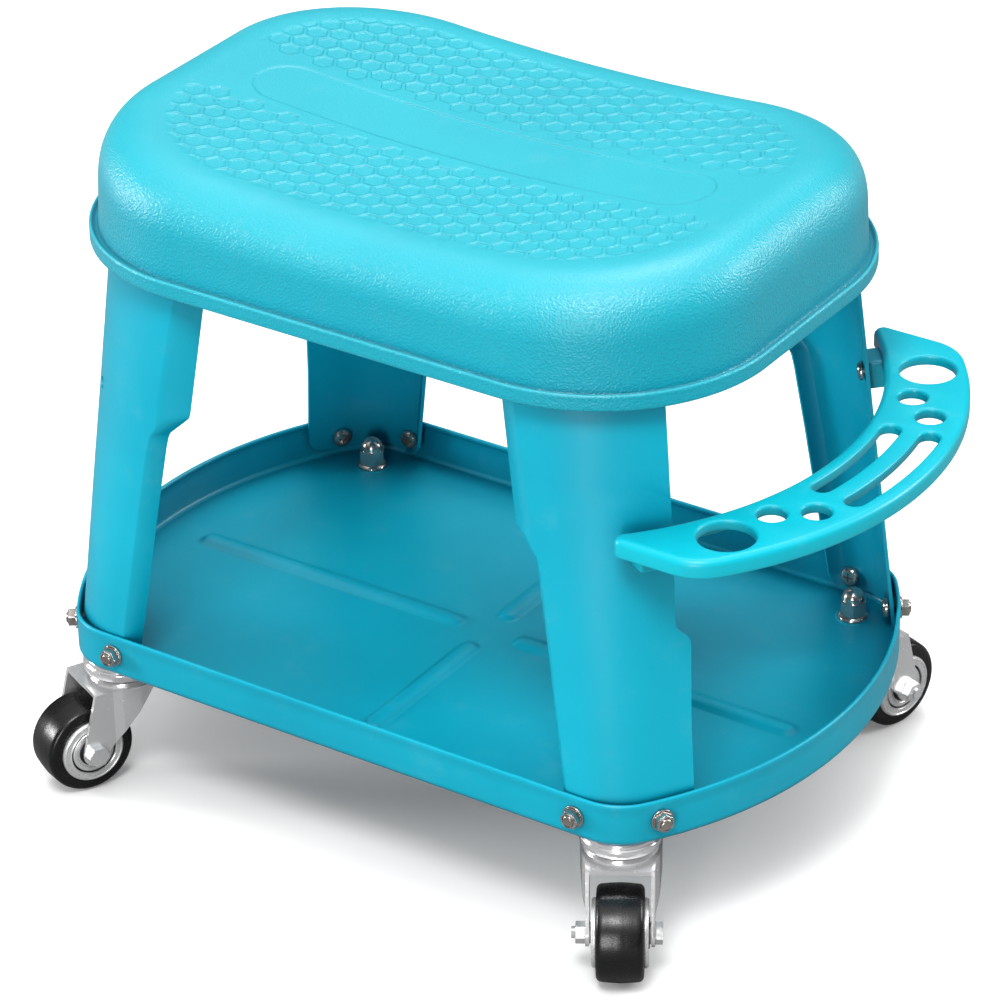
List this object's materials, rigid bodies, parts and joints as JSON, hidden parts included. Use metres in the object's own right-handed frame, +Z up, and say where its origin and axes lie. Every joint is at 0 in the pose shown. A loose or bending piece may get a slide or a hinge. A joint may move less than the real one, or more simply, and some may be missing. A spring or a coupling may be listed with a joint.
{
  "type": "rolling creeper seat",
  "caption": "Low rolling work seat: saddle-shaped moulded top on splayed sheet-metal legs, rimmed tool tray, swivel casters and a crescent tool holder.",
  "frame": {"origin": "centre of the tray floor's top surface", "axes": "+X along the seat towards the end that carries the tool holder, +Y across the seat, +Z up"},
  "size_m": [0.473, 0.3327, 0.3698],
  "materials": {
    "seat_plastic": "moulded turquoise plastic with a fine pebbled leather grain on the sides and a honeycomb relief on the top",
    "powder_coat": "smooth semi-gloss turquoise powder coat",
    "holder_plastic": "smooth satin moulded turquoise plastic",
    "nickel_fastener": "bright nickel plate, slightly warm",
    "zinc_steel": "bright zinc-plated pressed steel",
    "ball_steel": "polished steel, lightly greased",
    "rim_steel": "satin zinc-plated pressed disc",
    "hub_plastic": "black moulded plastic",
    "tyre": "smooth glossy black hard rubber"
  },
  "bodies": {
    "frame": {"seat_shell": "seat_plastic", "tray": "powder_coat", "leg_front_left": "powder_coat", "leg_front_right": "powder_coat", "leg_rear_left": "powder_coat", "leg_rear_right": "powder_coat", "tool_holder": "holder_plastic", "holder_screws": "nickel_fastener", "seat_screws": "nickel_fastener", "tray_screws": "nickel_fastener", "tray_nuts": "nickel_fastener", "stem_cap_nuts": "nickel_fastener", "stem_washers": "nickel_fastener", "stem_fl": "zinc_steel", "top_race_fl": "zinc_steel", "stem_fr": "zinc_steel", "top_race_fr": "zinc_steel", "stem_rl": "zinc_steel", "top_race_rl": "zinc_steel", "stem_rr": "zinc_steel", "top_race_rr": "zinc_steel"},
    "swivel_fl": {"fork_fl": "zinc_steel", "axle_bolt_fl": "zinc_steel", "axle_nut_fl": "zinc_steel", "axle_sleeve_fl": "zinc_steel", "swivel_balls_fl": "ball_steel"},
    "wheel_fl": {"wheel_hub_fl": "hub_plastic", "rim_plates_fl": "rim_steel", "tyre_fl": "tyre"},
    "swivel_fr": {"fork_fr": "zinc_steel", "axle_bolt_fr": "zinc_steel", "axle_nut_fr": "zinc_steel", "axle_sleeve_fr": "zinc_steel", "swivel_balls_fr": "ball_steel"},
    "wheel_fr": {"wheel_hub_fr": "hub_plastic", "rim_plates_fr": "rim_steel", "tyre_fr": "tyre"},
    "swivel_rl": {"fork_rl": "zinc_steel", "axle_bolt_rl": "zinc_steel", "axle_nut_rl": "zinc_steel", "axle_sleeve_rl": "zinc_steel", "swivel_balls_rl": "ball_steel"},
    "wheel_rl": {"wheel_hub_rl": "hub_plastic", "rim_plates_rl": "rim_steel", "tyre_rl": "tyre"},
    "swivel_rr": {"fork_rr": "zinc_steel", "axle_bolt_rr": "zinc_steel", "axle_nut_rr": "zinc_steel", "axle_sleeve_rr": "zinc_steel", "swivel_balls_rr": "ball_steel"},
    "wheel_rr": {"wheel_hub_rr": "hub_plastic", "rim_plates_rr": "rim_steel", "tyre_rr": "tyre"}
  },
  "joints": [
    {"name": "caster_turn_fl", "type": "hinge", "parent": "frame", "child": "swivel_fl", "pos_m": [-0.1554, -0.1156, -0.0146], "axis": [0, 0, 1], "continuous": true},
    {"name": "wheel_spin_fl", "type": "hinge", "parent": "swivel_fl", "child": "wheel_fl", "pos_m": [-0.16702, -0.13942, -0.0487], "axis": [0.8988, -0.4384, 0], "continuous": true},
    {"name": "caster_turn_fr", "type": "hinge", "parent": "frame", "child": "swivel_fr", "pos_m": [0.1554, -0.1156, -0.0146], "axis": [0, 0, 1], "continuous": true},
    {"name": "wheel_spin_fr", "type": "hinge", "parent": "swivel_fr", "child": "wheel_fr", "pos_m": [0.16905, -0.13831, -0.0487], "axis": [0.8572, 0.515, 0], "continuous": true},
    {"name": "caster_turn_rl", "type": "hinge", "parent": "frame", "child": "swivel_rl", "pos_m": [-0.1554, 0.1156, -0.0146], "axis": [0, 0, 1], "continuous": true},
    {"name": "wheel_spin_rl", "type": "hinge", "parent": "swivel_rl", "child": "wheel_rl", "pos_m": [-0.16784, 0.139, -0.0487], "axis": [-0.8829, -0.4695, 0], "continuous": true},
    {"name": "caster_turn_rr", "type": "hinge", "parent": "frame", "child": "swivel_rr", "pos_m": [0.1554, 0.1156, -0.0146], "axis": [0, 0, 1], "continuous": true},
    {"name": "wheel_spin_rr", "type": "hinge", "parent": "swivel_rr", "child": "wheel_rr", "pos_m": [0.1627, 0.14107, -0.0487], "axis": [-0.9613, 0.2756, 0], "continuous": true}
  ]
}
